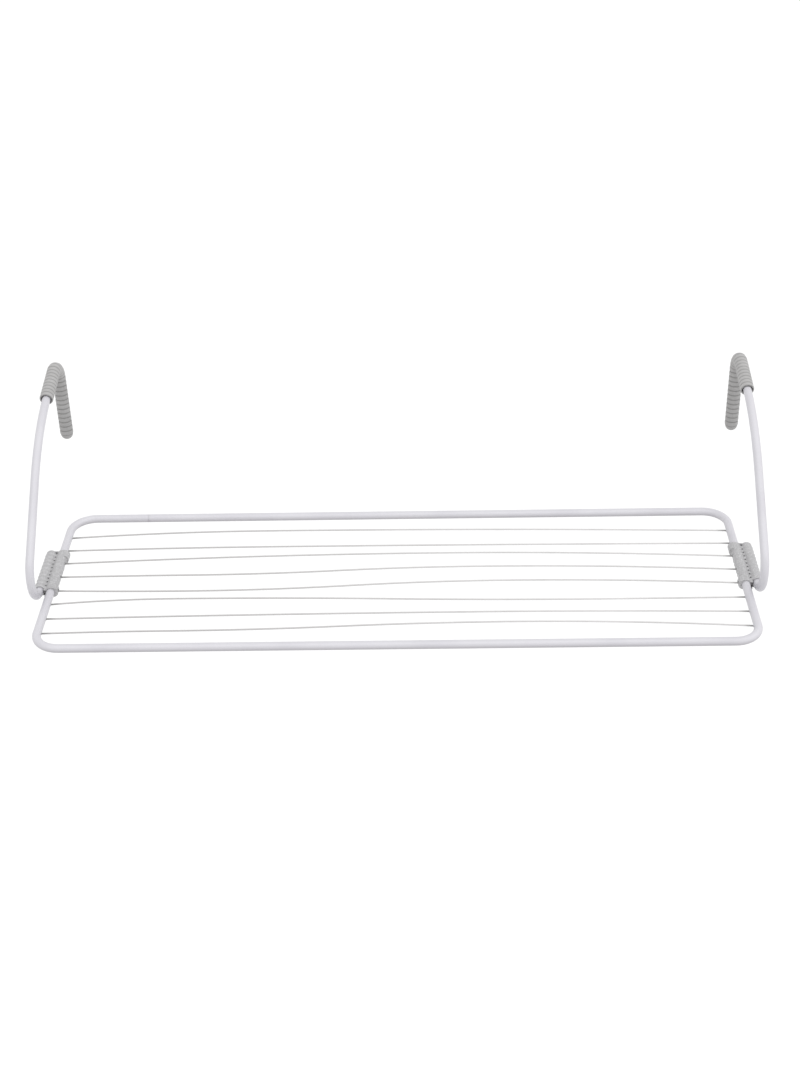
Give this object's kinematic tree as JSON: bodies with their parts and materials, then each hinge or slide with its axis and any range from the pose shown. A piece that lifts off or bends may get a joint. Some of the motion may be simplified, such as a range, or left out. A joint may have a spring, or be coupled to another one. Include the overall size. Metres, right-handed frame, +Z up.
{
  "type": "wall-hung drying rack",
  "caption": "Fold-down drying rack that hangs over a wall top: tube loop with drying lines, twin-barrel links and bent hook arms in ribbed sleeves.",
  "frame": {"origin": "front top edge of the wall that the rack hangs on, midway between the two hooks", "axes": "+X along the wall, +Y over the wall towards its far side, +Z up"},
  "size_m": [1.0404, 0.4478, 0.2365],
  "materials": {
    "white_powder_coat": "satin white powder coat, faintly lavender",
    "bare_steel": "bare drawn steel, hidden",
    "coated_wire": "light grey coated wire",
    "grey_link_plastic": "moulded grey plastic, fine satin texture",
    "grey_soft_sleeve": "soft grey moulding, matt"
  },
  "bodies": {
    "rack": {"frame_tube": "white_powder_coat", "frame_joint_spigot": "bare_steel", "drying_line_1": "coated_wire", "drying_line_2": "coated_wire", "drying_line_3": "coated_wire", "drying_line_4": "coated_wire", "drying_line_5": "coated_wire", "drying_line_6": "coated_wire", "drying_line_7": "coated_wire", "drying_line_8": "coated_wire"},
    "link_left": {"link_left": "grey_link_plastic"},
    "link_right": {"link_right": "grey_link_plastic"},
    "arm_left": {"arm_left": "white_powder_coat", "arm_stop_left": "grey_link_plastic", "hook_sleeve_left": "grey_soft_sleeve"},
    "arm_right": {"arm_right": "white_powder_coat", "arm_stop_right": "grey_link_plastic", "hook_sleeve_right": "grey_soft_sleeve"}
  },
  "joints": [
    {"name": "fold_left", "type": "hinge", "parent": "rack", "child": "link_left", "pos_m": [-0.494, -0.1564, -0.19673], "axis": [0, -1, 0], "range_deg": [0, 90]},
    {"name": "swing_left", "type": "hinge", "parent": "link_left", "child": "arm_left", "pos_m": [-0.5102, -0.1564, -0.19673], "axis": [0, -1, 0], "range_deg": [0, 178]},
    {"name": "fold_right", "type": "hinge", "parent": "rack", "child": "link_right", "pos_m": [0.494, -0.1564, -0.19673], "axis": [0, 1, 0], "range_deg": [0, 90]},
    {"name": "swing_right", "type": "hinge", "parent": "link_right", "child": "arm_right", "pos_m": [0.5102, -0.1564, -0.19673], "axis": [0, 1, 0], "range_deg": [0, 178]}
  ]
}
